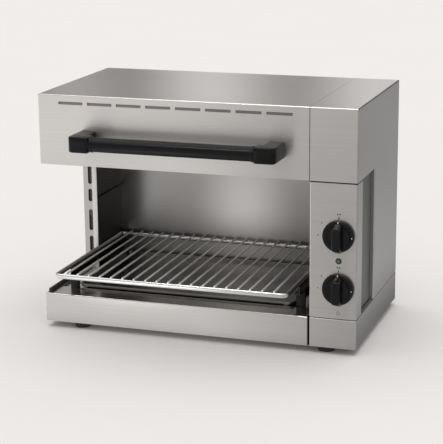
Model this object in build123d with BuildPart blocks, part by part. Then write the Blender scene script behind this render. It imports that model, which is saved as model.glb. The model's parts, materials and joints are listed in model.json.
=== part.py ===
"""Rise-and-fall salamander grill (cheese melter), built as its separate pieces.

Frame: +X to the user's right, +Y to the back, +Z up. The origin is on the bench, under the
centre of the whole outline. Millimetres. The hood is drawn at its lowest position, on its stops.
"""
import os

from build123d import *

# ---- outline ----
body_width = 600
body_depth = 330
body_height = 445
base_height = 54.2
hood_height = 130.2
control_width = 86
foot_height = 12
foot_radius = 16
handle_reach = 62
gland_reach = 20

# ---- sheet metal and fits ----
sheet = 1.2
fold_radius = 2.2
slip = 0.3
seat = 0.1
base_seam = 3
hood_seam = 0.5

# ---- lift ----
hood_travel = 120
post_width = 28
post_depth = 70
post_wall = 1.5
post_set_back = 188
post_inset = 1.5
slot_width = 8
slot_inset = 14.5
slot_shares = ((0.0814, 0.262), (0.308, 0.4817), (0.5464, 0.6501), (0.6908, 0.9601))
sleeve_wall = 2
sleeve_height = 20
rail_lift = 14
rail_wall = 1.5
rail_cap = 4
stop_pad = 2.5
yoke_width = 35
yoke_height = 18
yoke_wall = 1.5
yoke_bolt_radius = 4
bolt_head_radius = 6.5
bolt_head_height = 4.5
bolt_length = 12

# ---- gas spring ----
spring_radius = 11
spring_bore_radius = 5.3
spring_rod_radius = 5
spring_foot = 20
spring_body_length = 170
spring_floor = 8
spring_inset = 30
yoke_end = 16
eye_width = 9
eye_depth = 16
pin_radius = 3
pin_head_radius = 4.8
pin_rise = 12
ear_wall = 2
ear_depth = 18
ear_rise = 19

# ---- grill space ----
back_panel_gap = 18
liner_guide_rise = 140
liner_guide_height = 4
liner_guide_depth = 3
panel_flange = 8
well_front = 49
well_depth = 3
well_side = 10
well_set = 2
strip_width = 6
strip_height = 6
strip_set = 12

# ---- rack and its runners ----
rack_left = 31.5
rack_right_gap = 31.5
rack_overhang = 30
rack_depth = 333
rack_bar_width = 6.5
rack_bar_height = 9.5
rack_corner = 12
wire_radius = 1.9
wire_count = 19
wire_tail = 2.5
wire_sink = 1.2
runner_top = 38.3
runner_height = 15.5
runner_width = 12
runner_wall = 1.5
runner_front = 50
runner_back = 306
runner_foot_radius = 9
runner_foot_set = 66
runner_foot_inset = 2

# ---- drip tray ----
tray_gap = 3
tray_front = 56
tray_back = 300
tray_height = 6.5
tray_corner = 8
tray_rim = 3
tray_rail_width = 6
tray_rail_inset = 8

# ---- hood ----
cheek_set_back = 134.6
cheek_gap = 1
hood_gap = 2.4
skirt_flange = 8
vent_count = 8
vent_length = 47.5
vent_height = 5.3
vent_pitch = 56.4
vent_start = 40.8
vent_drop = 15
baffle_gap = 9
baffle_height = 38
baffle_margin = 10
reflector_side = 40
reflector_front = 24
reflector_height = 34
reflector_lip = 10
insulation_height = 24
insulation_inset = 6
element_radius = 4
element_pitch = 28
element_rise = 14
element_bend = 12
element_runs = 4
element_margin = 26
element_gap = 0.4
bracket_sheet = 2

# ---- handle ----
handle_left = 83
handle_length = 386
handle_drop = 78.5
grip_radius = 13.3
bracket_height = 29
bracket_width = 29
bracket_depth = 28
collar_length = 39
bracket_round = 9
bracket_edge = 3
grip_socket = 26
handle_screw_radius = 3
handle_screw_length = 20
handle_head_radius = 6
handle_head_height = 3.8

# ---- controls ----
control_return = 38
control_flange = 14
recess = 8
housing_drop = 4
partition_gap = 4
knob_side = 33
upper_knob_rise = 152.8
lower_knob_rise = 56.3
lamp_rise = 107.2
knob_radius = 28.5
knob_gap = 1
knob_skirt = 6
knob_step_radius = 22
knob_step = 3
grip_length = 59
grip_width = 15
grip_rise = 16
grip_drop = 1
grip_taper = 3
spindle_radius = 3
spindle_depth = 12
spindle_length = 38
bushing_radius = 5
regulator_set_back = 14
regulator_width = 42
regulator_height = 44
regulator_depth = 30
tag_width = 6.3
tag_length = 9
lens_radius = 4.5
lens_rise = 1.6
lens_stem_radius = 3.4
lens_stem = 6
holder_radius = 6
holder_depth = 14
terminal_width = 50
terminal_depth = 20
terminal_height = 18
terminal_ways = 5
terminal_set_forward = 45
gland_side = 55
gland_height = 39
gland_hex = 24
gland_radius = 10
gland_thread_radius = 8
gland_bore_radius = 4.5
gland_hex_length = 6
gland_inside = 8

# ---- floor and feet ----
foot_side = 65
foot_side_right = 60
foot_front = 24
foot_back = 300
foot_taper = 6
foot_recess_radius = 6.5
foot_recess = 7
screw_radius = 2.5
screw_head_radius = 5
screw_head_height = 3.5
screw_play = 0.3
floor_slot_count = 7
floor_slot_length = 60
floor_slot_width = 6
floor_slot_pitch = 24

# ---- planes worked out from the sizes above ----
left = -body_width / 2
right = body_width / 2
front = handle_reach - (handle_reach + body_depth + gland_reach) / 2
back = front + body_depth
seam = right - control_width
base_top = foot_height + base_height
hood_bottom = body_height - hood_height
roof = body_height - sheet
housing_side = right - recess
housing_top = hood_bottom - housing_drop
post_front = front + post_set_back
post_back = post_front + post_depth
post_top = hood_bottom - slip - stop_pad
post_height = post_top - base_top
post_left = left + post_inset
panel_front = back - back_panel_gap
partition = post_front - partition_gap
well_floor = base_top - well_depth
rail_side = post_wall + slip + sleeve_wall
rail_bottom = base_top + rail_lift
yoke_web = roof - yoke_height
yoke_y = post_front + post_depth / 2
spring_x = seam + spring_inset
lower_pin = base_top + pin_rise
upper_pin = yoke_web - pin_rise
spring_bottom = base_top + spring_foot
rack_x = left + rack_left
rack_width = seam - rack_right_gap - rack_x
rack_middle = rack_x + rack_width / 2
post_right = 2 * rack_middle - post_left - post_width
liner_faces = (post_left + post_width + sheet, post_right - sheet)
rack_front = front - rack_overhang
rack_back = rack_front + rack_depth
runner_z = base_top + runner_top
rack_z = runner_z + slip + rack_bar_height / 2
knob_x = right - knob_side
floor_top = hood_bottom + sheet
reflector_top = floor_top + reflector_height
handle_x = left + handle_left
handle_height = body_height - handle_drop
handle_y = front - handle_reach + bracket_depth / 2


def slab(x, y, z, mode=Mode.ADD):
    """Add or cut a block that fills the three given spans."""
    with BuildSketch(Plane.XY.offset(z[0])) as outline:
        with Locations(((x[0] + x[1]) / 2, (y[0] + y[1]) / 2)):
            Rectangle(x[1] - x[0], y[1] - y[0])
    extrude(outline.sketch, amount=z[1] - z[0], mode=mode)


def rod(plane, centre, radius, length, mode=Mode.ADD):
    """Add or cut a round bar that rises from a plane, at a point of that plane."""
    with BuildSketch(plane) as outline:
        with Locations(centre):
            Circle(radius)
    extrude(outline.sketch, amount=length, mode=mode)


def facing(y):
    """The plane that faces the user at this depth, with local axes X and Z."""
    return Plane.XZ.offset(-y)


def finish(piece, name):
    """Name a finished piece and write it."""
    piece.part.label = name
    export_step(piece.part, "parts/" + name + ".step")


os.makedirs("parts", exist_ok=True)

# ================ base ================
foot_points = [
    (left + foot_side, front + foot_front),
    (right - foot_side_right, front + foot_front),
    (left + foot_side, front + foot_back),
    (right - foot_side_right, front + foot_back),
]

with BuildPart() as base_pan:
    slab((left, seam - base_seam), (front, back), (foot_height, base_top))
    fillet(edges().filter_by(Axis.Z) + edges().group_by(Axis.Z)[-1], fold_radius)
    slab(
        (left + sheet, seam - base_seam - sheet),
        (front + sheet, back - sheet),
        (foot_height, base_top - well_depth - sheet),
        Mode.SUBTRACT,
    )
    slab(
        (left + well_side, seam - base_seam),
        (front + well_front, post_front - well_set),
        (well_floor, base_top),
        Mode.SUBTRACT,
    )
    slab(
        liner_faces,
        (post_front - well_set, panel_front - seat),
        (well_floor, base_top),
        Mode.SUBTRACT,
    )
    slab(
        (seam - base_seam - sheet, seam - base_seam),
        (front, back),
        (foot_height, foot_height + sheet + seat),
        Mode.SUBTRACT,
    )
finish(base_pan, "base_pan")

with BuildPart() as control_base:
    slab((seam, right), (front, back), (foot_height, base_top))
    fillet(edges().filter_by(Axis.Z) + edges().group_by(Axis.Z)[-1], fold_radius)
    slab(
        (seam + sheet, right - sheet),
        (front + sheet, back - sheet),
        (foot_height, base_top - sheet),
        Mode.SUBTRACT,
    )
    slab(
        (seam, seam + sheet),
        (front, back),
        (foot_height, foot_height + sheet + seat),
        Mode.SUBTRACT,
    )
    rod(
        facing(back + seat),
        (right - gland_side, gland_height),
        gland_thread_radius + seat,
        2 * sheet,
        Mode.SUBTRACT,
    )
finish(control_base, "control_base")

with BuildPart() as base_floor:
    slab(
        (left + sheet + seat, right - sheet - seat),
        (front + sheet + seat, back - sheet - seat),
        (foot_height, foot_height + sheet),
    )
    with BuildSketch(Plane.XY.offset(foot_height)):
        with Locations(*foot_points):
            Circle(screw_radius + screw_play)
    extrude(amount=sheet, mode=Mode.SUBTRACT)
    with BuildSketch(Plane.XY.offset(foot_height)):
        with Locations((0, front + body_depth / 2)):
            with GridLocations(floor_slot_pitch, 2 * floor_slot_length, floor_slot_count, 2):
                SlotOverall(floor_slot_length, floor_slot_width, rotation=90)
    extrude(amount=sheet, mode=Mode.SUBTRACT)
finish(base_floor, "base_floor")

with BuildPart() as feet:
    with BuildSketch(Plane.XY.offset(foot_height)):
        with Locations(*foot_points):
            Circle(foot_radius)
    extrude(amount=-foot_height, taper=foot_taper)
    with BuildSketch(Plane.XY):
        with Locations(*foot_points):
            Circle(foot_recess_radius)
    extrude(amount=foot_recess, mode=Mode.SUBTRACT)
    with BuildSketch(Plane.XY):
        with Locations(*foot_points):
            Circle(screw_radius + screw_play)
    extrude(amount=foot_height, mode=Mode.SUBTRACT)
finish(feet, "feet")

with BuildPart() as foot_screws:
    with BuildSketch(Plane.XY.offset(foot_recess - screw_head_height)):
        with Locations(*foot_points):
            Circle(screw_head_radius)
    extrude(amount=screw_head_height)
    with BuildSketch(Plane.XY.offset(foot_recess)):
        with Locations(*foot_points):
            Circle(screw_radius)
    extrude(amount=foot_height - foot_recess + 2 * sheet + screw_head_height)
    with BuildSketch(Plane.XY.offset(foot_height + sheet)):
        with Locations(*foot_points):
            RegularPolygon(screw_head_radius, 6)
    extrude(amount=screw_head_height)
finish(foot_screws, "foot_screws")

with BuildPart() as edge_strip:
    slab(
        (left + fold_radius, left + fold_radius + strip_width),
        (front + strip_set, post_front - slip),
        (base_top, base_top + strip_height),
    )
    fillet(edges().group_by(Axis.Z)[-1], strip_width / 4)
finish(edge_strip, "edge_strip")

# ================ lift columns ================
column_lefts = {"left": post_left, "right": post_right}

for side, post_x in column_lefts.items():
    post_span = (post_x, post_x + post_width)
    inner_x = (post_x + post_wall, post_x + post_width - post_wall)
    inner_y = (post_front + post_wall, post_back - post_wall)
    rail_x = (post_x + rail_side, post_x + post_width - rail_side)
    rail_y = (post_front + rail_side, post_back - rail_side)
    sleeve_x = (inner_x[0] + slip, inner_x[1] - slip)
    sleeve_y = (inner_y[0] + slip, inner_y[1] - slip)

    with BuildPart() as post:
        slab(post_span, (post_front, post_back), (base_top, post_top))
        fillet(edges().filter_by(Axis.Z), post_wall)
        slab(inner_x, inner_y, (base_top, post_top), Mode.SUBTRACT)
        for low, high in slot_shares:
            with BuildSketch(facing(post_front)):
                with Locations((post_x + slot_inset, base_top + post_height * (low + high) / 2)):
                    SlotOverall(post_height * (high - low), slot_width, rotation=90)
            extrude(amount=-post_wall, mode=Mode.SUBTRACT)
    finish(post, side + "_post")

    with BuildPart() as pad:
        slab(post_span, (post_front, post_back), (post_top, post_top + stop_pad))
        slab(rail_x, rail_y, (post_top, post_top + stop_pad), Mode.SUBTRACT)
        offset_x = (rail_x[0] - sleeve_wall / 2, rail_x[1] + sleeve_wall / 2)
        offset_y = (rail_y[0] - sleeve_wall / 2, rail_y[1] + sleeve_wall / 2)
        slab(offset_x, offset_y, (post_top, post_top + stop_pad), Mode.SUBTRACT)
    finish(pad, side + "_stop_pad")

    with BuildPart() as rail:
        slab(rail_x, rail_y, (rail_bottom, yoke_web))
        slab(
            (rail_x[0] + rail_wall, rail_x[1] - rail_wall),
            (rail_y[0] + rail_wall, rail_y[1] - rail_wall),
            (rail_bottom, yoke_web - rail_cap),
            Mode.SUBTRACT,
        )
        rod(
            Plane.XY.offset(yoke_web - rail_cap),
            ((rail_x[0] + rail_x[1]) / 2, yoke_y),
            yoke_bolt_radius + seat,
            rail_cap,
            Mode.SUBTRACT,
        )
    finish(rail, side + "_lift_rail")

    with BuildPart() as sleeves:
        sleeve_top = post_top - hood_travel
        for bottom in (rail_bottom, sleeve_top - sleeve_height):
            slab(sleeve_x, sleeve_y, (bottom, bottom + sleeve_height))
            slab(rail_x, rail_y, (bottom, bottom + sleeve_height), Mode.SUBTRACT)
    finish(sleeves, side + "_glide_sleeves")

bolt_points = [(post_left + post_width / 2, yoke_y), (post_right + post_width / 2, yoke_y)]

with BuildPart() as lift_yoke:
    slab(
        (post_left, spring_x + yoke_end),
        (yoke_y - yoke_width / 2, yoke_y + yoke_width / 2),
        (yoke_web, roof),
    )
    slab(
        (post_left, spring_x + yoke_end),
        (yoke_y - yoke_width / 2 + yoke_wall, yoke_y + yoke_width / 2 - yoke_wall),
        (yoke_web + yoke_wall, roof),
        Mode.SUBTRACT,
    )
    with BuildSketch(Plane.XY.offset(yoke_web)):
        with Locations(*bolt_points):
            Circle(yoke_bolt_radius + seat)
    extrude(amount=yoke_wall, mode=Mode.SUBTRACT)
finish(lift_yoke, "lift_yoke")

with BuildPart() as yoke_bolts:
    with BuildSketch(Plane.XY.offset(yoke_web + yoke_wall)):
        with Locations(*bolt_points):
            RegularPolygon(bolt_head_radius, 6)
    extrude(amount=bolt_head_height)
    with BuildSketch(Plane.XY.offset(yoke_web + yoke_wall)):
        with Locations(*bolt_points):
            Circle(yoke_bolt_radius)
    extrude(amount=-bolt_length)
finish(yoke_bolts, "yoke_bolts")

# ================ gas spring ================
across = Plane.YZ.offset(spring_x - eye_width / 2)

with BuildPart() as gas_spring_body:
    rod(Plane.XY.offset(spring_bottom), (spring_x, yoke_y), spring_radius, spring_body_length)
    fillet(edges().group_by(Axis.Z)[-1], fold_radius)
    slab(
        (spring_x - eye_width / 2, spring_x + eye_width / 2),
        (yoke_y - eye_depth / 2, yoke_y + eye_depth / 2),
        (lower_pin - eye_depth / 2, spring_bottom),
    )
    rod(
        Plane.XY.offset(spring_bottom + spring_floor),
        (spring_x, yoke_y),
        spring_bore_radius,
        spring_body_length - spring_floor,
        Mode.SUBTRACT,
    )
    rod(across, (yoke_y, lower_pin), pin_radius + seat, eye_width, Mode.SUBTRACT)
finish(gas_spring_body, "gas_spring_body")

with BuildPart() as gas_spring_rod:
    rod(
        Plane.XY.offset(spring_bottom + spring_floor + slip),
        (spring_x, yoke_y),
        spring_rod_radius,
        upper_pin - eye_depth / 2 - spring_bottom - spring_floor - slip,
    )
    slab(
        (spring_x - eye_width / 2, spring_x + eye_width / 2),
        (yoke_y - eye_depth / 2, yoke_y + eye_depth / 2),
        (upper_pin - eye_depth / 2, upper_pin + eye_depth / 2),
    )
    rod(across, (yoke_y, upper_pin), pin_radius + seat, eye_width, Mode.SUBTRACT)
finish(gas_spring_rod, "gas_spring_rod")

for end, pin_z, foot_z in (("lower", lower_pin, base_top), ("upper", upper_pin, yoke_web)):
    outward = 1 if end == "lower" else -1
    ear_tip = foot_z + outward * ear_rise
    ear_in = eye_width / 2 + slip
    ear_out = ear_in + ear_wall
    ear_y = (yoke_y - ear_depth / 2, yoke_y + ear_depth / 2)
    with BuildPart() as bracket:
        slab((spring_x - ear_out, spring_x + ear_out), ear_y, sorted((foot_z, ear_tip)))
        slab(
            (spring_x - ear_in, spring_x + ear_in),
            ear_y,
            sorted((foot_z + outward * ear_wall, ear_tip)),
            Mode.SUBTRACT,
        )
        rod(
            Plane.YZ.offset(spring_x - ear_out),
            (yoke_y, pin_z),
            pin_radius + seat,
            2 * ear_out,
            Mode.SUBTRACT,
        )
    finish(bracket, "spring_bracket_" + end)

    with BuildPart() as spring_pin:
        pin_start = Plane.YZ.offset(spring_x - ear_out - ear_wall)
        rod(pin_start, (yoke_y, pin_z), pin_radius, 2 * ear_out + 2 * ear_wall)
        rod(Plane.YZ.offset(spring_x + ear_out), (yoke_y, pin_z), pin_head_radius, ear_wall)
    finish(spring_pin, "spring_pin_" + end)

# ================ grill space ================
liner_sides = {"left": (liner_faces[0], 1), "right": (liner_faces[1], -1)}

for side, (face, inward) in liner_sides.items():
    with BuildPart() as liner:
        slab(
            sorted((face, face - inward * sheet)),
            (post_front, panel_front - seat),
            (base_top, post_top),
        )
        guide_z = base_top + liner_guide_rise
        slab(
            sorted((face, face + inward * liner_guide_depth)),
            (post_front + panel_flange, panel_front - panel_flange),
            (guide_z, guide_z + liner_guide_height),
        )
        slab(
            sorted((face - inward * sheet, face - inward * (sheet + panel_flange))),
            (panel_front - seat - sheet, panel_front - seat),
            (base_top, post_top),
        )
    finish(liner, side + "_liner")

with BuildPart() as control_wall:
    slab(
        (seam, seam + sheet),
        (front + control_flange + seat, panel_front - seat),
        (base_top, housing_top),
    )
finish(control_wall, "control_wall")

with BuildPart() as back_panel:
    panel_x = (liner_faces[0] - sheet - panel_flange, seam + sheet)
    slab(panel_x, (panel_front, panel_front + sheet), (base_top, post_top))
    for flange_z in (base_top, post_top - sheet):
        slab(
            panel_x,
            (panel_front + sheet, panel_front + panel_flange),
            (flange_z, flange_z + sheet),
        )
finish(back_panel, "back_panel")

# ================ rack and runners ================
rack_clear = rack_bar_width / 2

with BuildPart() as rack:
    with BuildSketch(Plane.XY.offset(rack_z - rack_bar_height / 2)):
        with Locations((rack_middle, (rack_front + rack_back) / 2)):
            RectangleRounded(rack_width, rack_depth, rack_corner)
            RectangleRounded(
                rack_width - 2 * rack_bar_width,
                rack_depth - 2 * rack_bar_width,
                rack_corner - rack_bar_width,
                mode=Mode.SUBTRACT,
            )
    extrude(amount=rack_bar_height)
    chamfer(edges().group_by(Axis.Z)[-1] + edges().group_by(Axis.Z)[0], rack_bar_width / 4)
    wire_pitch = (rack_width - rack_bar_width) / (wire_count + 1)
    wire_z = rack_z + rack_bar_height / 2 + wire_radius - wire_sink
    with BuildSketch(facing(rack_back + wire_tail)):
        with Locations((rack_middle, wire_z)):
            with GridLocations(wire_pitch, 1, wire_count, 1):
                RegularPolygon(wire_radius, 8)
    extrude(amount=rack_depth + wire_tail - rack_clear)
finish(rack, "rack")

runner_foot_points = []
for side, (face, inward) in liner_sides.items():
    edge = face + inward * seat
    web = sorted((edge, edge + inward * runner_wall))
    flange = sorted((edge, edge + inward * runner_width))
    with BuildPart() as runner:
        slab(web, (front + runner_front, front + runner_back), (runner_z - runner_height, runner_z))
        for bottom in (runner_z - runner_height, runner_z - runner_wall):
            slab(flange, (front + runner_front, front + runner_back), (bottom, bottom + runner_wall))
    finish(runner, side + "_runner")
    runner_foot_points.append((edge + inward * runner_foot_inset, front + runner_foot_set))

with BuildPart() as runner_feet:
    with BuildSketch(Plane.XY.offset(well_floor)):
        with Locations(*runner_foot_points):
            Circle(runner_foot_radius)
    extrude(amount=runner_z - runner_height - well_floor)
    fillet(edges().group_by(Axis.Z)[0], fold_radius)
finish(runner_feet, "runner_feet")

# ================ drip tray ================
tray_left = runner_foot_points[0][0] + runner_foot_radius + tray_gap + tray_rim
tray_right = runner_foot_points[1][0] - runner_foot_radius - tray_gap - tray_rim
tray_y = (front + tray_front, front + tray_back)
tray_z = (base_top + slip, base_top + slip + tray_height)

with BuildPart() as drip_tray:
    slab((tray_left, tray_right), tray_y, (tray_z[0], tray_z[1] - sheet))
    fillet(edges().filter_by(Axis.Z), tray_corner)
    with BuildSketch(Plane.XY.offset(tray_z[1] - sheet)):
        with Locations((rack_middle, sum(tray_y) / 2)):
            RectangleRounded(
                tray_right - tray_left + 2 * tray_rim,
                tray_y[1] - tray_y[0] + 2 * tray_rim,
                tray_corner + tray_rim,
            )
    extrude(amount=sheet)
    with BuildSketch(Plane.XY.offset(tray_z[0] + sheet)):
        with Locations((rack_middle, sum(tray_y) / 2)):
            RectangleRounded(
                tray_right - tray_left - 2 * sheet,
                tray_y[1] - tray_y[0] - 2 * sheet,
                tray_corner - sheet,
            )
    extrude(amount=tray_height, mode=Mode.SUBTRACT)
finish(drip_tray, "drip_tray")

with BuildPart() as tray_rails:
    for x in (tray_left + tray_rail_inset, tray_right - tray_rail_inset - tray_rail_width):
        slab((x, x + tray_rail_width), (front + well_front, tray_y[1]), (well_floor, base_top))
finish(tray_rails, "tray_rails")

# ================ hood ================
inside_z = (hood_bottom, roof)

with BuildPart() as hood_shell:
    slab((left, seam), (front, back), (hood_bottom, body_height))
    top_edges = edges().group_by(Axis.Z)[-1].sort_by(Axis.X)[:-1]
    fillet(edges().filter_by(Axis.Z).group_by(Axis.X)[0] + top_edges, fold_radius)
    slab((left + sheet, seam), (front + sheet, back), inside_z, Mode.SUBTRACT)
    slab(
        (seam - hood_seam, seam),
        (front, back),
        (hood_bottom, body_height),
        Mode.SUBTRACT,
    )
    with BuildSketch(facing(front)):
        for number in range(vent_count):
            vent_x = left + vent_start + vent_length / 2 + number * vent_pitch
            with Locations((vent_x, body_height - vent_drop)):
                Rectangle(vent_length, vent_height)
    extrude(amount=-sheet, mode=Mode.SUBTRACT)
    with BuildSketch(facing(front)):
        with Locations(
            (handle_x + bracket_width / 2, handle_height),
            (handle_x + handle_length - bracket_width / 2, handle_height),
        ):
            Circle(handle_screw_radius + screw_play)
    extrude(amount=-sheet, mode=Mode.SUBTRACT)
finish(hood_shell, "hood_shell")

cheek_front = front + cheek_set_back
cheek_bottom = base_top + cheek_gap

with BuildPart() as hood_cheek:
    slab((seam, right), (front, back), (hood_bottom, body_height))
    slab((seam, right), (cheek_front, back), (cheek_bottom, hood_bottom))
    outer = edges().filter_by(Axis.Z).group_by(Axis.X)[-1]
    top_edges = edges().group_by(Axis.Z)[-1].sort_by(Axis.X)[1:]
    fillet(outer + top_edges, fold_radius)
    slab((seam, right - sheet), (front + sheet, back), inside_z, Mode.SUBTRACT)
    slab(
        (seam, right - sheet),
        (cheek_front + sheet, back),
        (cheek_bottom, hood_bottom),
        Mode.SUBTRACT,
    )
    slab(
        (seam, housing_side + slip),
        (cheek_front, cheek_front + sheet),
        (cheek_bottom, hood_bottom),
        Mode.SUBTRACT,
    )
finish(hood_cheek, "hood_cheek")

with BuildPart() as rear_skirt:
    skirt_x = (left + sheet + seat, right - sheet - seat)
    slab(skirt_x, (back - sheet, back), (cheek_bottom, roof))
    slab(
        (skirt_x[0], skirt_x[0] + sheet),
        (back - skirt_flange, back - sheet),
        (cheek_bottom, hood_bottom - seat),
    )
    slab(
        skirt_x,
        (back - skirt_flange, back - sheet),
        (cheek_bottom, cheek_bottom + sheet),
    )
finish(rear_skirt, "rear_skirt")

reflector_x = (left + reflector_side, 2 * rack_middle - left - reflector_side)
reflector_y = (front + reflector_front, panel_front - reflector_front / 2)
window_x = (reflector_x[0] + reflector_lip, reflector_x[1] - reflector_lip)
window_y = (reflector_y[0] + reflector_lip, reflector_y[1] - reflector_lip)

with BuildPart() as hood_floor:
    slab(
        (left + sheet + seat, right - sheet - seat),
        (front + sheet + seat, back - sheet - seat),
        (hood_bottom, floor_top),
    )
    slab(window_x, window_y, (hood_bottom, floor_top), Mode.SUBTRACT)
    for post_x in column_lefts.values():
        slab(
            (post_x + rail_side - seat, post_x + post_width - rail_side + seat),
            (post_front + rail_side - seat, post_back - rail_side + seat),
            (hood_bottom, floor_top),
            Mode.SUBTRACT,
        )
    rod(
        Plane.XY.offset(hood_bottom),
        (spring_x, yoke_y),
        spring_rod_radius + sheet,
        sheet,
        Mode.SUBTRACT,
    )
finish(hood_floor, "hood_floor")

with BuildPart() as vent_baffle:
    vents_length = (vent_count - 1) * vent_pitch + vent_length
    baffle_x = (
        left + vent_start - baffle_margin,
        left + vent_start + vents_length + baffle_margin,
    )
    baffle_z = (roof - baffle_height, roof)
    slab(baffle_x, (front + baffle_gap, front + baffle_gap + sheet), baffle_z)
    slab(
        baffle_x,
        (front + sheet, front + baffle_gap),
        (baffle_z[0], baffle_z[0] + sheet),
    )
finish(vent_baffle, "vent_baffle")

element_starts = (
    reflector_y[0] + element_margin,
    reflector_y[1] - element_margin - (element_runs - 1) * element_pitch,
)
element_z = floor_top + element_rise
run_depths = [start + run * element_pitch for start in element_starts for run in range(element_runs)]

with BuildPart() as reflector:
    slab(reflector_x, reflector_y, (floor_top, reflector_top))
    slab(
        (reflector_x[0] + sheet, reflector_x[1] - sheet),
        (reflector_y[0] + sheet, reflector_y[1] - sheet),
        (floor_top, reflector_top - sheet),
        Mode.SUBTRACT,
    )
    with BuildSketch(Plane.YZ.offset(reflector_x[1] - sheet)):
        for start in element_starts:
            for run in (0, element_runs - 1):
                with Locations((start + run * element_pitch, element_z)):
                    Circle(element_radius + element_gap)
    extrude(amount=sheet, mode=Mode.SUBTRACT)
finish(reflector, "reflector")

element_x = (reflector_x[0] + element_margin, reflector_x[1] - element_margin)
for place, start in zip(("front", "rear"), element_starts):
    corners = [(reflector_x[1] + element_radius, start)]
    for run in range(element_runs - 1):
        turn_x = element_x[run % 2]
        corners.append((turn_x, start + run * element_pitch))
        corners.append((turn_x, start + (run + 1) * element_pitch))
    corners.append((reflector_x[1] + element_radius, start + (element_runs - 1) * element_pitch))
    with BuildPart() as element:
        with BuildLine(Plane.XY.offset(element_z)) as path:
            FilletPolyline(*corners, radius=element_bend)
        with BuildSketch(Plane(origin=path.line @ 0, z_dir=path.line % 0)):
            RegularPolygon(element_radius, 12)
        sweep()
    finish(element, place + "_element")

with BuildPart() as element_brackets:
    bracket_z = (element_z - 2 * element_radius, reflector_top - sheet)
    for x in (
        reflector_x[0] + 2 * element_margin,
        sum(reflector_x) / 2,
        reflector_x[1] - 2 * element_margin,
    ):
        slab(
            (x - bracket_sheet / 2, x + bracket_sheet / 2),
            (reflector_y[0] + sheet, reflector_y[1] - sheet),
            bracket_z,
        )
        with BuildSketch(Plane.YZ.offset(x - bracket_sheet / 2)):
            for depth in run_depths:
                with Locations((depth, element_z)):
                    Circle(element_radius + element_gap)
        extrude(amount=bracket_sheet, mode=Mode.SUBTRACT)
finish(element_brackets, "element_brackets")

with BuildPart() as insulation:
    slab(
        (reflector_x[0] + insulation_inset, reflector_x[1] - insulation_inset),
        (reflector_y[0] + insulation_inset, reflector_y[1] - insulation_inset),
        (reflector_top, reflector_top + insulation_height),
    )
    fillet(edges().group_by(Axis.Z)[-1], insulation_inset)
finish(insulation, "insulation")

# ================ handle ================
handle_z = (handle_height - bracket_height / 2, handle_height + bracket_height / 2)
far_end = handle_x + handle_length
grip_start = handle_x + collar_length - grip_socket

for side, edge, inward in (("left", handle_x, 1), ("right", far_end, -1)):
    outline_points = [
        (edge, front),
        (edge, front - handle_reach),
        (edge + inward * collar_length, front - handle_reach),
        (edge + inward * collar_length, front - handle_reach + bracket_depth),
        (edge + inward * bracket_width, front - handle_reach + bracket_depth),
        (edge + inward * bracket_width, front),
    ]
    with BuildPart() as bracket:
        with BuildSketch(Plane.XY.offset(handle_z[0])):
            with BuildLine():
                Polyline(*outline_points, close=True)
            make_face()
            fillet(vertices().group_by(Axis.Y)[0].sort_by(Axis.X)[0 if inward == 1 else -1], bracket_round)
        extrude(amount=bracket_height)
        chamfer(edges().group_by(Axis.Z)[-1] + edges().group_by(Axis.Z)[0], bracket_edge / 2)
        socket_plane = Plane.YZ.offset(edge + inward * (collar_length - grip_socket - slip))
        rod(
            socket_plane,
            (handle_y, handle_height),
            grip_radius + seat / 2,
            inward * (grip_socket + 2 * slip),
            Mode.SUBTRACT,
        )
        rod(
            facing(front),
            (edge + inward * bracket_width / 2, handle_height),
            handle_screw_radius + seat,
            handle_screw_length,
            Mode.SUBTRACT,
        )
    finish(bracket, "handle_bracket_" + side)

with BuildPart() as handle_grip:
    grip_end = far_end - collar_length + grip_socket
    rod(
        Plane.YZ.offset(grip_start),
        (handle_y, handle_height),
        grip_radius,
        grip_end - grip_start,
    )
finish(handle_grip, "handle_grip")

screw_points = [
    (handle_x + bracket_width / 2, handle_height),
    (far_end - bracket_width / 2, handle_height),
]
with BuildPart() as handle_screws:
    with BuildSketch(facing(front + sheet)):
        with Locations(*screw_points):
            Circle(handle_screw_radius)
    extrude(amount=handle_screw_length - sheet)
    with BuildSketch(facing(front + sheet)):
        with Locations(*screw_points):
            Circle(handle_head_radius)
    extrude(amount=-handle_head_height)
finish(handle_screws, "handle_screws")

# ================ control column ================
panel_bottom = base_top + slip
panel_top = hood_bottom - hood_gap
housing_front = front + sheet + seat
upper_knob = base_top + upper_knob_rise
lower_knob = base_top + lower_knob_rise
lamp_z = base_top + lamp_rise

with BuildPart() as control_panel:
    slab((seam, right), (front, front + control_return), (panel_bottom, panel_top))
    fillet(edges().filter_by(Axis.Z).group_by(Axis.Y)[0], fold_radius)
    slab(
        (seam + sheet, right - sheet),
        (front + sheet, front + control_return),
        (panel_bottom, panel_top - sheet),
        Mode.SUBTRACT,
    )
    slab(
        (seam, right - sheet),
        (front + control_flange, front + control_return),
        (panel_bottom, panel_top),
        Mode.SUBTRACT,
    )
    with BuildSketch(facing(front)):
        with Locations((knob_x, upper_knob), (knob_x, lower_knob)):
            Circle(bushing_radius + seat)
        with Locations((knob_x, lamp_z)):
            Circle(lens_stem_radius + seat)
    extrude(amount=-sheet, mode=Mode.SUBTRACT)
finish(control_panel, "control_panel")

with BuildPart() as control_housing:
    housing_x = (seam + sheet + seat, housing_side)
    slab(
        (housing_side - sheet, housing_side),
        (housing_front, back - skirt_flange - slip),
        (base_top, housing_top),
    )
    slab(
        (housing_side - 2 * recess, housing_side),
        (housing_front, housing_front + sheet),
        (base_top, housing_top),
    )
    slab(housing_x, (housing_front + control_flange, partition), (housing_top - sheet, housing_top))
    slab(housing_x, (partition - sheet, partition), (base_top, housing_top))
finish(control_housing, "control_housing")

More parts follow.
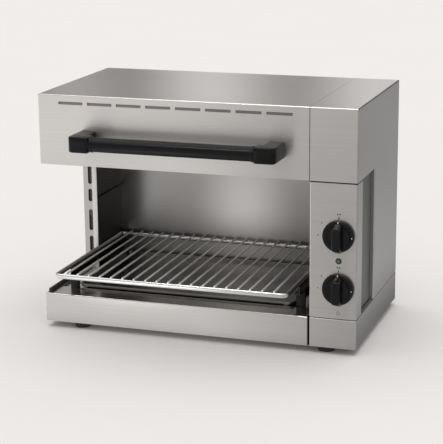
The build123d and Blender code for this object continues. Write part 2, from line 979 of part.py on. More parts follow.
for place, knob_z in (("upper", upper_knob), ("lower", lower_knob)):
    knob_plane = facing(front - knob_gap)
    with BuildPart() as knob:
        rod(knob_plane, (knob_x, knob_z), knob_radius, knob_skirt)
        chamfer(edges().group_by(Axis.Y)[0], knob_skirt / 3)
        rod(facing(front - knob_gap - knob_skirt), (knob_x, knob_z), knob_step_radius, knob_step)
        chamfer(edges().group_by(Axis.Y)[0], knob_step / 2)
        with BuildSketch(facing(front - knob_gap - knob_skirt / 2)):
            with Locations((knob_x, knob_z - grip_drop)):
                SlotOverall(grip_length, grip_width, rotation=90)
        extrude(amount=grip_rise + knob_skirt / 2, taper=grip_taper)
        fillet(edges().group_by(Axis.Y)[0], grip_width / 8)
        rod(
            knob_plane,
            (knob_x, knob_z),
            spindle_radius + seat / 2,
            spindle_depth,
            Mode.SUBTRACT,
        )
    finish(knob, place + "_knob")

    with BuildPart() as spindle:
        rod(
            facing(front - knob_gap - spindle_depth + slip),
            (knob_x, knob_z),
            spindle_radius,
            -spindle_length,
        )
    finish(spindle, place + "_spindle")

    with BuildPart() as regulator:
        body_front = front + regulator_set_back
        with BuildSketch(facing(body_front)):
            with Locations((knob_x, knob_z)):
                Rectangle(regulator_width, regulator_height)
        extrude(amount=-regulator_depth)
        fillet(edges().filter_by(Axis.Y), fold_radius)
        rod(facing(front), (knob_x, knob_z), bushing_radius, -regulator_set_back)
        rod(
            facing(front),
            (knob_x, knob_z),
            spindle_radius + slip,
            -spindle_length,
            Mode.SUBTRACT,
        )
        with BuildSketch(facing(body_front + regulator_depth)):
            with Locations((knob_x, knob_z)):
                with GridLocations(regulator_width / 2, regulator_height / 2, 2, 2):
                    Rectangle(sheet, tag_width)
        extrude(amount=-tag_length)
    finish(regulator, place + "_regulator")

with BuildPart() as lamp_lens:
    rod(facing(front), (knob_x, lamp_z), lens_radius, lens_rise)
    fillet(edges().group_by(Axis.Y)[0], lens_rise / 2)
    rod(facing(front), (knob_x, lamp_z), lens_stem_radius, -lens_stem)
finish(lamp_lens, "lamp_lens")

with BuildPart() as lamp_holder:
    rod(facing(front + sheet), (knob_x, lamp_z), holder_radius, -holder_depth)
    rod(
        facing(front + sheet),
        (knob_x, lamp_z),
        lens_stem_radius + seat,
        sheet - lens_stem - slip,
        Mode.SUBTRACT,
    )
    with BuildSketch(facing(front + sheet + holder_depth)):
        with Locations((knob_x, lamp_z)):
            with GridLocations(holder_radius, 1, 2, 1):
                Rectangle(sheet, tag_width)
    extrude(amount=-tag_length)
finish(lamp_holder, "lamp_holder")

with BuildPart() as terminal_block:
    block_x = right - gland_side
    block_y = back - terminal_set_forward
    block_z = (foot_height + sheet, foot_height + sheet + terminal_height)
    slab(
        (block_x - terminal_width / 2, block_x + terminal_width / 2),
        (block_y - terminal_depth / 2, block_y + terminal_depth / 2),
        block_z,
    )
    with BuildSketch(Plane.XY.offset(block_z[1])):
        with Locations((block_x, block_y)):
            with GridLocations(terminal_width / terminal_ways, terminal_depth / 2, terminal_ways, 2):
                Circle(terminal_width / terminal_ways / 4)
    extrude(amount=-terminal_height / 2, mode=Mode.SUBTRACT)
finish(terminal_block, "terminal_block")

with BuildPart() as cable_gland:
    gland_point = (right - gland_side, gland_height)
    rod(facing(back - sheet - gland_inside), gland_point, gland_thread_radius, -(gland_inside + sheet))
    with BuildSketch(facing(back)):
        with Locations(gland_point):
            RegularPolygon(gland_hex / 2, 6, major_radius=False)
    extrude(amount=-gland_hex_length)
    with BuildSketch(facing(back - sheet)):
        with Locations(gland_point):
            RegularPolygon(gland_hex / 2, 6, major_radius=False)
    extrude(amount=gland_inside / 2)
    rod(facing(back + gland_hex_length), gland_point, gland_radius, gland_hex_length - gland_reach)
    fillet(edges().group_by(Axis.Y)[-1], fold_radius)
    rod(
        facing(back - sheet - gland_inside),
        gland_point,
        gland_bore_radius,
        -(gland_inside + sheet + gland_reach),
        Mode.SUBTRACT,
    )
finish(cable_gland, "cable_gland")
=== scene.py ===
"""Rise-and-fall salamander grill: the pieces that show, their finishes, and the studio."""
import json
import math

import bmesh
import bpy
from mathutils import Matrix, Vector


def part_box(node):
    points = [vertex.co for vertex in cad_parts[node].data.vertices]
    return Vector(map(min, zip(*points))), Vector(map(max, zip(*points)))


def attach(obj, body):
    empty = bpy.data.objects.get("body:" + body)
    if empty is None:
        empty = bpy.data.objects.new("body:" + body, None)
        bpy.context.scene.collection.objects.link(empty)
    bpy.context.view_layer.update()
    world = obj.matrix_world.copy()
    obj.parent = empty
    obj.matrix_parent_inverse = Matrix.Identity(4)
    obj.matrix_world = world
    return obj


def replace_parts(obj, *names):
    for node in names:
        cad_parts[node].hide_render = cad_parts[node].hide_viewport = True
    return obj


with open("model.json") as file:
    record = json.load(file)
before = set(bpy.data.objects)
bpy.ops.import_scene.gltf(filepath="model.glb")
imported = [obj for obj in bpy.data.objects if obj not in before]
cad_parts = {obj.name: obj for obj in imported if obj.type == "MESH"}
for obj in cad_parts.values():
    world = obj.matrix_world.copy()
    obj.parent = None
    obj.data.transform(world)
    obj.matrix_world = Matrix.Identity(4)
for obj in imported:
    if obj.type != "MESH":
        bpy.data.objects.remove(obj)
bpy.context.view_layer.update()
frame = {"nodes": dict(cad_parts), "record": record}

bl_info = {
    "name": "Salamander grill",
    "version": (1, 0, 0),
    "blender": (4, 5, 0),
    "location": "View3D > Sidebar > Grill",
    "description": "Details, finishes and studio for a rise-and-fall salamander grill",
    "category": "Object",
}

PANEL_LOW, PANEL_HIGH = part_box("control_panel")
RACK_LOW, RACK_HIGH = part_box("rack")
LENS_LOW, LENS_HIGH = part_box("lamp_lens")

# How far the rack's wires reach past its rear bar.
RACK_TAIL = 0.0025
# The recess beside the control panel ends here, just short of the cheek that moves.
RECESS_BACK = PANEL_LOW[1] + 0.1330
# The row of vents: from and to, along x from the hood's left, and down from its top.
VENT_ROW = ((0.0408, 0.4831), (0.015, 0.0203))
# A painted reflection on the back panel, a paler patch in its colour: its middle, its reach on
# each axis, its gain.
PAINTED_REFLECTION_PATCH = ((-0.004, 0.168, 0.14), (0.125, 0.0012, 0.20), 1.06)

# The mirrored floor card. Its levels run from left to right, counted along x plus a share of
# |y|, and its gains, on top of 1, come in on the far part in front of the grill.
CARD_SIZE = 8
CARD_LIFT = 0.001
CARD_SKEW = 0.36
CARD_LEVELS = (
    (-0.45, 0.96), (-0.20, 0.78), (0.08, 0.735), (0.20, 0.585), (0.36, 0.41),
    (0.55, 0.46), (0.75, 0.39), (1.20, 0.31), (1.65, 0.265))
FAR_GAINS = ((-0.45, 0.04), (-0.30, 0.33), (-0.09, 0.28), (0.08, 0.32), (0.25, 0.0),
             (0.38, -0.55), (0.51, 0.05), (0.75, 0.0), (1.65, 0.0))
FAR_FRONT = (-1.6, -2.1)
# Beyond this |y| the card is paler by a share.
DISTANT_REACH = (1.5, 2.4)
DISTANT_GAIN = 0.32
# Beside the grill, and from this y backwards, the card lies in the grill's shade.
GRILL_HALF_WIDTH = (PANEL_HIGH[0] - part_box("left_post")[0][0]) / 2
SHADE_WIDTH = 0.12
SHADE_FRONT = (-0.25, -0.05)
GLOW_SPOT = (-0.225, -0.52, 0.0)
GLOW_REACH = 0.25
# The screen behind the grill. A window's light fades out between two counts of its pitch.
SCREEN_SIZE = 8
SCREEN_BACK = 3.9
WINDOW_FADE = (1.9, 0.9)
SOFTBOX_PLACE = (-0.35, -1.75, 2.6)
SOFTBOX_TILT = (math.radians(37), 0, 0)
SOFTBOX_SIZE = (1.5, 0.22, 1)
FLOOR_SIZE = 80
# Height of the view, as the sine of its angle, where the room is as bright as overhead.
SKY_TOP = 0.8
LAMP_COLOUR = (1.0, 0.985, 0.97)

# Nodes that wear another finish than the rest of their slot.
OWN_FINISHES = {
    "back_panel": "inner_stainless",
    "base_pan": "base_stainless",
    "left_post": "post_stainless",
    "right_post": "post_stainless",
    "drip_tray": "tray_stainless",
    "left_lift_rail": "dark_stainless",
    "right_lift_rail": "dark_stainless",
    "control_housing": "housing_stainless",
}
# Brushed sheets: finish, setting with its colour, roughness, streaks, clouds and stretch of
# the gloss across the brush lines.
SHEETS = (
    ("brushed_stainless", "panel_colour", 0.29, 0.035, 0.03, 0.75),
    ("base_stainless", "panel_colour", 0.18, 0.035, 0.03, 0.5),
    ("post_stainless", "post_colour", 0.32, 0.03, 0.03, 0.5),
    ("inner_stainless", "inner_colour", 0.30, 0.012, 0.04, 0.5),
    ("housing_stainless", "housing_colour", 0.40, 0.02, 0.02, 0.3),
    # The tray's colour is its steel darkened by painted shade from the rack above.
    ("tray_stainless", "tray_colour", 0.22, 0.03, 0.05, 0.4),
    ("dull_stainless", "dull_colour", 0.42, 0.03, 0.04, 0.3),
    ("dark_stainless", "dark_colour", 0.36, 0.04, 0.08, 0.3),
)
# Plain metals whose colour isn't a setting: finish, colour, roughness and fineness of grain.
METALS = (
    ("bright_reflector", (0.72, 0.71, 0.69), 0.16, 220.0),
    ("vent_steel", (0.23, 0.22, 0.215), 0.40, 300.0),
    ("fold_steel", (0.60, 0.585, 0.57), 0.30, 300.0),
    ("steel_screws", (0.50, 0.50, 0.49), 0.28, 700.0),
    ("element_sheath", (0.10, 0.09, 0.08), 0.5, 400.0),
    ("spring_chrome", (0.72, 0.72, 0.72), 0.1, 300.0),
)
INKS = (
    ("white_print", (0.75, 0.75, 0.73)),
    ("black_print", (0.03, 0.03, 0.03)),
    ("grey_print", (0.13, 0.125, 0.12)),
)
WOOL_COLOUR = (0.66, 0.58, 0.38)
NYLON_COLOUR = (0.08, 0.08, 0.08)
ENAMEL_COLOUR = (0.012, 0.012, 0.012)
LENS_MIDDLE = (0.10, 0.19, 0.09, 1)
LENS_RIM = (0.010, 0.036, 0.010, 1)
LENS_RADIUS = 0.0045
# Sockets of the Mix node that belong to its colour form: both inputs and the output.
MIX_FIRST, MIX_SECOND, MIX_RESULT = 6, 7, 2
# Depth of the surface grain that bump shading stands for.
GRAIN_DEPTH = 0.0001
WOOL_DEPTH = 0.0015

# The knob's white marks: the line's half width, its lower and upper end, how far it stands
# out and sinks in, the bead's place beside and above the middle, and the rounding of both.
POINTER_HALF, POINTER_FROM, POINTER_TO = 0.0011, 0.0228, 0.0268
POINTER_PROUD, POINTER_SINK = 0.0004, 0.001
BEAD_ASIDE, BEAD_ABOVE, BEAD_RADIUS, BEAD_LENGTH = 0.0250, -0.0012, 0.0009, 0.0012
MARK_ROUND = 0.0003
# Marks by each knob: ink, sideways, upwards, width and height, in metres from its middle.
KNOB_MARKS = (
    ("black_print", 0.0, 0.0332, 0.0016, 0.0052),
    ("black_print", -0.0021, 0.0398, 0.0024, 0.0026),
    ("black_print", 0.0021, 0.0398, 0.0024, 0.0026),
    ("grey_print", -0.0373, 0.0002, 0.0030, 0.0018),
    ("grey_print", -0.0306, 0.0228, 0.0016, 0.0034),
    ("grey_print", 0.0250, 0.0330, 0.0012, 0.0012),
)
# Bars of the small sign under the lower knob: sideways, upwards, width and height.
SYMBOL_BARS = (
    (0.0, -0.0410, 0.0044, 0.0007),
    (0.0, -0.0470, 0.0044, 0.0007),
    (-0.0022, -0.0440, 0.0007, 0.0060),
    (0.0022, -0.0440, 0.0007, 0.0060),
)
# How far a mark stands out of the panel, and how far it sinks in.
INK_PROUD, INK_SINK = 0.00012, 0.0002
# The lamp's ring: gap round the lens, radius of its bead, and how far its middle stands out.
RING_GAP, RING_BEAD, RING_PROUD = 0.0004, 0.0006, 0.0003
# Two points count as level with each other within this.
TINY = 1e-5


def box_of(node):
    """The low and the high corner of a CAD node's box."""
    return [Vector(corner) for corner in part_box(node)]


def centre_of(node):
    """The middle of a CAD node's box."""
    low, high = box_of(node)
    return (low + high) / 2


def length(name, description, default):
    """A length that the user can change."""
    return bpy.props.FloatProperty(
        name=name, description=description, default=default, unit="LENGTH")


def angle(name, description, default):
    """An angle that the user can change."""
    return bpy.props.FloatProperty(
        name=name, description=description, default=default, subtype="ANGLE")


def level(name, description, default):
    """A strength that the user can change."""
    return bpy.props.FloatProperty(
        name=name, description=description, default=default, min=0)


def share(name, description, default):
    """A share between 0 and 1 that the user can change."""
    return bpy.props.FloatProperty(
        name=name, description=description, default=default, min=0, max=1, subtype="FACTOR")


def colour(name, description, default):
    """A colour that the user can change."""
    return bpy.props.FloatVectorProperty(
        name=name, description=description, default=default, subtype="COLOR", min=0, max=1)


class StudioSettings(bpy.types.PropertyGroup):
    """Camera, floor and lamps."""

    camera_place: bpy.props.FloatVectorProperty(
        name="Camera place", description="Where the camera stands, in the frame of the grill",
        default=(0.89113, -2.63847, 0.90101), subtype="TRANSLATION", unit="LENGTH")
    camera_turn: angle(
        "Camera turn", "Turn of the view to the left of straight ahead", math.radians(18.60485))
    camera_tilt: angle("Camera tilt", "How far the view looks down", math.radians(14.32657))
    camera_roll: angle(
        "Camera roll", "Roll of the picture about the line of sight", math.radians(-0.53856))
    camera_lens: bpy.props.FloatProperty(
        name="Lens", description="Focal length on a 36 mm sensor, in millimetres",
        default=123.26, min=20)
    floor_colour: colour("Floor colour", "Paper of the studio floor", (0.755, 0.742, 0.738))
    sky_low: level("Horizon level", "Strength of the room's light near the horizon", 0.42)
    sky_high: level("Ceiling level", "Strength of the room's light overhead", 0.95)
    backdrop_level: level(
        "Backdrop level", "Brightness of the room behind the floor's far edge", 0.88)
    screen_level: level("Screen level", "Brightness of the screen that the top mirrors", 0.145)
    window_gain: level("Window gain", "How much paler the screen's two windows are", 5.2)
    window_pitch: length("Window pitch", "Distance from one window's middle to the next", 0.815)
    window_place: length("Window place", "Middle of the left window, along x", -1.40)
    key_strength: level("Key light", "Strength of the broad light from above", 1.0)
    key_aim: bpy.props.FloatVectorProperty(
        name="Key direction", description="Direction towards the key light",
        default=(-0.07, 0.06, 0.99), subtype="DIRECTION")
    key_spread: angle("Key spread", "Angle that the key light fills", math.radians(60))
    card_level: level("Card level", "Brightness of the floor that the sheet metal mirrors", 1.14)
    glow_level: level("Glow level", "Extra brightness of the mirrored spot before the grill", 1.6)
    softbox_level: level(
        "Softbox level", "Brightness of the lamp box that black parts mirror", 18.0)
    contact_shade: share(
        "Contact shade", "How much darker the mirrored floor is beside the grill", 0.62)


class MetalSettings(bpy.types.PropertyGroup):
    """Colours of the sheet metal and wire."""

    panel_colour: colour("Panel steel", "Brushed outer sheet", (0.60, 0.577, 0.558))
    post_colour: colour("Post steel", "Slotted posts beside the grill space", (0.46, 0.445, 0.43))
    inner_colour: colour("Back panel steel", "Duller sheet behind the food", (0.33, 0.318, 0.31))
    housing_colour: colour(
        "Housing steel", "Side of the control housing, deep in its recess", (0.225, 0.223, 0.22))
    # Its steel darkened by painted shade from the rack above the tray.
    tray_colour: colour("Tray steel", "Drip tray under the rack", (0.28, 0.272, 0.265))
    dull_colour: colour("Dull steel", "Mill-finish inner sheet", (0.36, 0.35, 0.34))
    dark_colour: colour(
        "Dark steel", "Side liners, rack runners and lift rails", (0.070, 0.063, 0.058))
    wire_colour: colour("Rack wire", "Chromed rack wire", (0.70, 0.69, 0.68))
    # Painted highlight: the same chrome as the bar, paler and half diffuse so that the wires look
    # lit.
    wire_highlight_colour: colour("Cross wires", "Thin pale wires of the rack", (0.95, 0.94, 0.92))
    grain_pitch: bpy.props.FloatProperty(
        name="Grain pitch", description="Spacing of the brush lines",
        default=0.0024, min=0.0002, unit="LENGTH")


class BlackSettings(bpy.types.PropertyGroup):
    """Colours of the black mouldings."""

    handle_colour: colour("Handle", "Heat-resistant plastic of the handle", (0.007, 0.007, 0.007))
    knob_colour: colour("Knob", "Glossier plastic of the knobs", (0.004, 0.004, 0.004))
    rubber_colour: colour("Rubber", "Feet, pads and strips", (0.02, 0.02, 0.02))


class KnobSettings(bpy.types.PropertyGroup):
    """Shape of the two knobs."""

    skirt_radius: length("Skirt radius", "Radius of the round skirt", 0.0285)
    hub_radius: length("Hub radius", "Radius of the raised middle", 0.022)
    grip_width: length("Grip width", "Width of the bar that fingers turn", 0.0175)
    skirt_height: length("Skirt height", "Thickness of the round skirt", 0.006)
    hub_height: length("Hub height", "How far the middle stands out of the skirt", 0.0026)
    hub_taper: share(
        "Hub taper", "Width of the raised middle's front as a share of its root", 0.96)
    hub_dish: length("Hub dish", "Depth of the dish in the raised middle", 0.00078)
    grip_length: length("Grip length", "Length of the bar at its root", 0.0555)
    grip_root: length("Grip root", "How far the bar sinks into the skirt", 0.002)
    end_share: share(
        "End rounding", "Rounding of the bar's ends as a share of its half width", 0.78)
    front_width: share("Front width", "Width of the bar's front face as a share of its root", 0.88)
    front_share: share(
        "Front share", "Length of the bar's front face as a share of its root", 0.74)
    edge: length("Edge rounding", "Rounding of the moulded edges", 0.0016)


class HandleSettings(bpy.types.PropertyGroup):
    """Shape of the handle."""

    elbow_round: length("Elbow rounding", "Radius of each elbow's outer corner", 0.009)
    edge: length("Edge rounding", "Rounding of the long edges of the elbows", 0.0028)
    leg_width: length("Leg width", "Width of the part of an elbow that meets the hood", 0.029)
    leg_depth: length("Arm depth", "Depth of the part of an elbow that holds the bar", 0.028)
    collar_width: length("Collar width", "Width of the ring beside each elbow", 0.005)
    collar_rise: length("Collar rise", "How far the ring stands out of the bar", 0.0009)
    collar_gap: length("Collar gap", "Groove between the elbow and the ring", 0.001)


class RackSettings(bpy.types.PropertyGroup):
    """Shape of the wire rack."""

    wire_count: bpy.props.IntProperty(
        name="Wires", description="Number of wires from front to back",
        default=19, min=3)
    wire_radius: length("Wire radius", "Radius of each wire", 0.0019)
    bar_width: length("Bar width", "Thickness of the outer bar, seen from above", 0.0065)
    bar_height: length("Bar height", "Height of the outer bar", 0.0095)
    corner: length("Corner", "Outer radius of the bar's corners", 0.012)
    wire_start: share("Wire start", "Where wires begin, as a share of the bar's half width", 0.7)


class TrimSettings(bpy.types.PropertyGroup):
    """Shape of the folded edge, the seals, the joint and the plate behind the vents."""

    fold_width: length("Fold width", "How far the folded edge covers the post's face", 0.009)
    fold_reach: length("Fold reach", "Thickness of the liner sheet beside the post", 0.0012)
    fold_depth: length("Fold depth", "How far the folded edge stands proud of the post", 0.001)
    clearance: length("Clearance", "Gap at each end of the folded edge", 0.0005)
    fold_gap: length("Fold gap", "Gap between the folded edge and the post", 0.00005)
    seal_height: length("Seal height", "Height of the rubber seal on the control column", 0.0036)
    seal_width: length("Seal width", "Width of the rubber seal on the control column", 0.004)
    vent_plate_set: length(
        "Vent plate set", "How far the plate lies behind the hood's front", 0.0013)
    vent_plate_margin: length(
        "Vent plate margin", "How far the plate reaches past the vents", 0.004)
    gasket_height: length(
        "Gasket height", "Height of the rubber gasket under the control panel", 0.0010)
    gasket_proud: length(
        "Gasket proud", "How far the gasket stands out of the control panel", 0.00012)
    gasket_lip: length(
        "Gasket lip", "How far the gasket stands out of the recessed housing", 0.0006)
    joint_width: length("Joint width", "Width of the dark joint between shell and cheek", 0.0012)
    joint_rise: length("Joint rise", "How far the joint strip stands out of the front", 0.00015)


# ---------------------------------------------------------------- materials


def add_node(tree, kind, **settings):
    """Add a shader node. A setting that names a socket sets it, any other sets a property."""
    made = tree.nodes.new(kind)
    for key, value in settings.items():
        socket = made.inputs.get(key.replace("_", " ").title())
        if socket is None:
            setattr(made, key, value)
        else:
            socket.default_value = value
    return made


def new_material(name):
    """An empty node material with its surface shader, and that shader."""
    material = bpy.data.materials.new(name)
    material.use_nodes = True
    shader = material.node_tree.nodes["Principled BSDF"]
    return material, material.node_tree, shader


def place_on(tree, kind="Object"):
    """The place on the piece, or another output of the coordinate node."""
    return add_node(tree, "ShaderNodeTexCoord").outputs[kind]


def along_axes(tree, vector):
    """A vector's parts along x, y and z."""
    split = add_node(tree, "ShaderNodeSeparateXYZ")
    tree.links.new(vector, split.inputs["Vector"])
    return split.outputs


def stretched_noise(tree, scale, detail=3.0, roughness=0.55):
    """Noise on the piece's own coordinates, stretched by a different scale on each axis."""
    mapping = add_node(tree, "ShaderNodeMapping", scale=scale)
    noise = add_node(
        tree, "ShaderNodeTexNoise", scale=1.0, detail=detail, roughness=roughness)
    tree.links.new(place_on(tree), mapping.inputs["Vector"])
    tree.links.new(mapping.outputs["Vector"], noise.inputs["Vector"])
    return noise.outputs["Fac"]


def side_share(tree):
    """1 on the faces that look left or right, 0 on the others."""
    size = calculate(tree, "ABSOLUTE", along_axes(tree, place_on(tree, "Normal"))["X"])
    return calculate(tree, "GREATER_THAN", size, 0.7)


def blend_values(tree, share, first, second):
    """Mix two values by a share."""
    mix = add_node(tree, "ShaderNodeMix", data_type="FLOAT")
    tree.links.new(share, mix.inputs["Factor"])
    tree.links.new(first, mix.inputs["A"])
    tree.links.new(second, mix.inputs["B"])
    return mix.outputs["Result"]


def spread(tree, value, low, high):
    """Map a 0.25 to 0.75 noise value onto low to high."""
    span = add_node(
        tree, "ShaderNodeMapRange", from_min=0.25, from_max=0.75, to_min=low, to_max=high)
    tree.links.new(value, span.inputs["Value"])
    return span.outputs["Result"]


def calculate(tree, operation, *values):
    """Work out a sum on values, each a socket or a number."""
    sum_node = add_node(tree, "ShaderNodeMath", operation=operation)
    for number, value in enumerate(values):
        if isinstance(value, (int, float)):
            sum_node.inputs[number].default_value = value
        else:
            tree.links.new(value, sum_node.inputs[number])
    return sum_node.outputs[0]


def times(tree, first, second):
    """One value times another."""
    return calculate(tree, "MULTIPLY", first, second)


def scaled(tree, value, factor, added):
    """A value times a factor, plus another value."""
    return calculate(tree, "MULTIPLY_ADD", value, factor, added)


def fade(tree, value, none, full):
    """0 where a value reaches the first limit, 1 where it reaches the second."""
    span = add_node(tree, "ShaderNodeMapRange", interpolation_type="SMOOTHSTEP",
                    from_min=none, from_max=full)
    tree.links.new(value, span.inputs["Value"])
    return span.outputs["Result"]


def tinted(tree, colour, amount):
    """A colour multiplied by a value."""
    scale = add_node(tree, "ShaderNodeVectorMath", operation="SCALE")
    scale.inputs[0].default_value = colour
    tree.links.new(amount, scale.inputs["Scale"])
    return scale.outputs["Vector"]


def paint(tree, shader, colour, grain, low, high):
    """Colour the surface, between two shares of the colour as the grain goes."""
    tree.links.new(
        tinted(tree, colour, spread(tree, grain, low, high)), shader.inputs["Base Color"])


def roughen(tree, shader, grain, low, high):
    """Set the roughness, between two values as the grain goes."""
    tree.links.new(spread(tree, grain, low, high), shader.inputs["Roughness"])


def add_bump(tree, shader, value, strength, distance=GRAIN_DEPTH):
    """Raise the surface by a value."""
    bump = add_node(tree, "ShaderNodeBump", strength=strength, distance=distance)
    tree.links.new(value, bump.inputs["Height"])
    tree.links.new(bump.outputs["Normal"], shader.inputs["Normal"])


def distance_from(tree, middle, reach=(1, 1, 1)):
    """Distance from a point on the piece, counted in a reach for each axis."""
    squeeze = add_node(tree, "ShaderNodeVectorMath", operation="DIVIDE")
    squeeze.inputs[1].default_value = reach
    off = add_node(tree, "ShaderNodeVectorMath", operation="DISTANCE")
    off.inputs[1].default_value = [at / size for at, size in zip(middle, reach)]
    tree.links.new(place_on(tree), squeeze.inputs[0])
    tree.links.new(squeeze.outputs["Vector"], off.inputs[0])
    return off.outputs["Value"]


def brushed_metal(name, colour, pitch, roughness, streak, cloud, stretch, painted_reflection=None):
    """Brushed sheet: fine lines along each face, faint streaks, soft clouding, and a paler patch
    of painted reflection.
    """
    material, tree, shader = new_material(name)
    fine = 1.0 / pitch
    along_x = stretched_noise(tree, (1.6, fine, fine), 4.0)
    along_y = stretched_noise(tree, (fine, 1.6, fine), 4.0)
    grain = blend_values(tree, side_share(tree), along_x, along_y)
    clouds = stretched_noise(tree, (3.2, 5.0, 5.0), 2.0)
    shade = times(tree, spread(tree, grain, 1 - streak, 1 + streak),
                  spread(tree, clouds, 1 - cloud, 1 + cloud))
    # A paler patch painted into the colour, standing for a bright reflection.
    if painted_reflection:
        middle, reach, gain = painted_reflection
        near = fade(tree, distance_from(tree, middle, reach), 1.0, 0.0)
        shade = times(tree, shade, scaled(tree, near, gain, 1.0))
    tree.links.new(tinted(tree, colour, shade), shader.inputs["Base Color"])
    roughen(tree, shader, grain, roughness - 0.02, roughness + 0.02)
    shader.inputs["Metallic"].default_value = 1.0
    shader.inputs["Anisotropic"].default_value = stretch
    across = add_node(tree, "ShaderNodeCombineXYZ", y=0.08, z=1.0)
    tree.links.new(across.outputs["Vector"], shader.inputs["Tangent"])
    add_bump(tree, shader, grain, 0.02)
    return material


def plain_metal(name, colour, roughness, grain_scale, metallic=1.0):
    """Metal with a fine, even surface."""
    material, tree, shader = new_material(name)
    grain = stretched_noise(tree, (grain_scale,) * 3)
    paint(tree, shader, colour, grain, 0.92, 1.08)
    roughen(tree, shader, grain, roughness * 0.85, roughness * 1.15)
    shader.inputs["Metallic"].default_value = metallic
    add_bump(tree, shader, grain, 0.06)
    return material


def moulded(name, colour, roughness, grain_scale=900.0, bump=0.15, gloss=0.5):
    """Moulded plastic or rubber with a fine texture."""
    material, tree, shader = new_material(name)
    shader.inputs["Specular IOR Level"].default_value = gloss
    grain = stretched_noise(tree, (grain_scale,) * 3, 2.0)
    paint(tree, shader, colour, grain, 0.85, 1.15)
    roughen(tree, shader, grain, roughness * 0.92, roughness * 1.08)
    add_bump(tree, shader, grain, bump)
    return material


def wool(name, colour):
    """Loose mineral fibre."""
    material, tree, shader = new_material(name)
    fibre = stretched_noise(tree, (260.0, 420.0, 180.0), 6.0, 0.7)
    paint(tree, shader, colour, fibre, 0.7, 1.15)
    shader.inputs["Roughness"].default_value = 0.95
    add_bump(tree, shader, fibre, 0.9, WOOL_DEPTH)
    return material


def green_lens(name, middle, radius):
    """Green pilot lens, paler in the middle."""
    material, tree, shader = new_material(name)
    outward = add_node(
        tree, "ShaderNodeMapRange", from_min=radius * 0.25, from_max=radius * 0.8)
    tree.links.new(distance_from(tree, middle), outward.inputs["Value"])
    colour = add_node(tree, "ShaderNodeMix", data_type="RGBA")
    colour.inputs[MIX_FIRST].default_value = LENS_MIDDLE
    colour.inputs[MIX_SECOND].default_value = LENS_RIM
    tree.links.new(outward.outputs["Result"], colour.inputs["Factor"])
    tree.links.new(colour.outputs[MIX_RESULT], shader.inputs["Base Color"])
    shader.inputs["Roughness"].default_value = 0.12
    shader.inputs["Coat Weight"].default_value = 0.5
    return material


def printed(name, colour):
    """Ink or paint of a small mark."""
    material, tree, shader = new_material(name)
    grain = stretched_noise(tree, (1500.0,) * 3, 1.0)
    paint(tree, shader, colour, grain, 0.9, 1.1)
    shader.inputs["Roughness"].default_value = 0.5
    return material


def graded(tree, value, table):
    """A level that follows a table of (value, level) pairs."""
    first, last = table[0][0], table[-1][0]
    ramp = add_node(tree, "ShaderNodeValToRGB")
    tree.links.new(
        scaled(tree, value, 1 / (last - first), -first / (last - first)), ramp.inputs["Fac"])
    stops = ramp.color_ramp.elements
    for number, (place, level) in enumerate(table):
        place = (place - first) / (last - first)
        stop = stops[number] if number < 2 else stops.new(place)
        stop.position = place
        stop.color = (level, level, level, 1)
    return ramp.outputs["Color"]


def mirrored_light(tree, strength):
    light = add_node(tree, "ShaderNodeEmission")
    if isinstance(strength, float):
        light.inputs["Strength"].default_value = strength
    else:
        tree.links.new(strength, light.inputs["Strength"])
    tree.links.new(light.outputs["Emission"], tree.nodes["Material Output"].inputs["Surface"])


def mirror_card(name, size, place, turn=(0, 0, 0)):
    """A square plane that only mirrors show, and the nodes of its material."""
    plane = square(size, place, turn)
    plane.name = name
    plane.visible_camera = plane.visible_diffuse = plane.visible_shadow = False
    plane.visible_transmission = plane.visible_volume_scatter = False
    material, tree, _ = new_material(name)
    plane.data.materials.append(material)
    return plane, tree


FINISHES = {}


def finish_of(slot):
    """The finish made for a material slot of the record."""
    if slot not in FINISHES:
        raise RuntimeError("the finish " + slot + " is made before the pieces that wear it")
    return FINISHES[slot]


# ---------------------------------------------------------------- modelling


def rest_tools():
    """Leave edit mode and deselect everything, so that a tool acts on new geometry alone."""
    if bpy.context.mode != "OBJECT":
        bpy.ops.object.mode_set(mode="OBJECT")
    bpy.ops.object.select_all(action="DESELECT")


def take(piece):
    """Make one object the only selected one."""
    rest_tools()
    piece.select_set(True)
    bpy.context.view_layer.objects.active = piece


def settle(piece):
    """Write the object's place into its mesh."""
    take(piece)
    bpy.ops.object.transform_apply(location=True, rotation=True, scale=True)


def block(low, high):
    """A block between two corners."""
    rest_tools()
    low, high = Vector(low), Vector(high)
    bpy.ops.mesh.primitive_cube_add(size=1, location=(low + high) / 2, scale=high - low)
    piece = bpy.context.object
    settle(piece)
    return piece


def square(size, place, turn=(0, 0, 0)):
    """A square plane."""
    rest_tools()
    bpy.ops.mesh.primitive_plane_add(size=size, location=place, rotation=turn)
    return bpy.context.object


TURNS = {"X": (0, math.pi / 2, 0), "Y": (math.pi / 2, 0, 0)}


def bar(centre, radius, length, axis, sides):
    """A round bar about an axis."""
    rest_tools()
    bpy.ops.mesh.primitive_cylinder_add(
        vertices=sides, radius=radius, depth=length, location=centre, rotation=TURNS[axis])
    piece = bpy.context.object
    settle(piece)
    return piece


def edit(piece, kind, test):
    """Enter edit mode with only the faces or edges selected that pass the test."""
    take(piece)
    bpy.ops.object.mode_set(mode="EDIT")
    bpy.ops.mesh.select_mode(type=kind)
    bpy.ops.mesh.select_all(action="DESELECT")
    mesh = bmesh.from_edit_mesh(piece.data)
    for part in mesh.faces if kind == "FACE" else mesh.edges:
        if test(part):
            part.select_set(True)
    mesh.select_flush_mode()
    bmesh.update_edit_mesh(piece.data)


def leave():
    """Back to object mode."""
    bpy.ops.object.mode_set(mode="OBJECT")


def push(step):
    """Extrude the selected faces by a step."""
    bpy.ops.mesh.extrude_region_move(TRANSFORM_OT_translate={"value": step})


def looks(direction, least=0.9):
    """A test for faces that look in a direction."""
    aim = Vector(direction)
    return lambda face: face.normal.dot(aim) > least


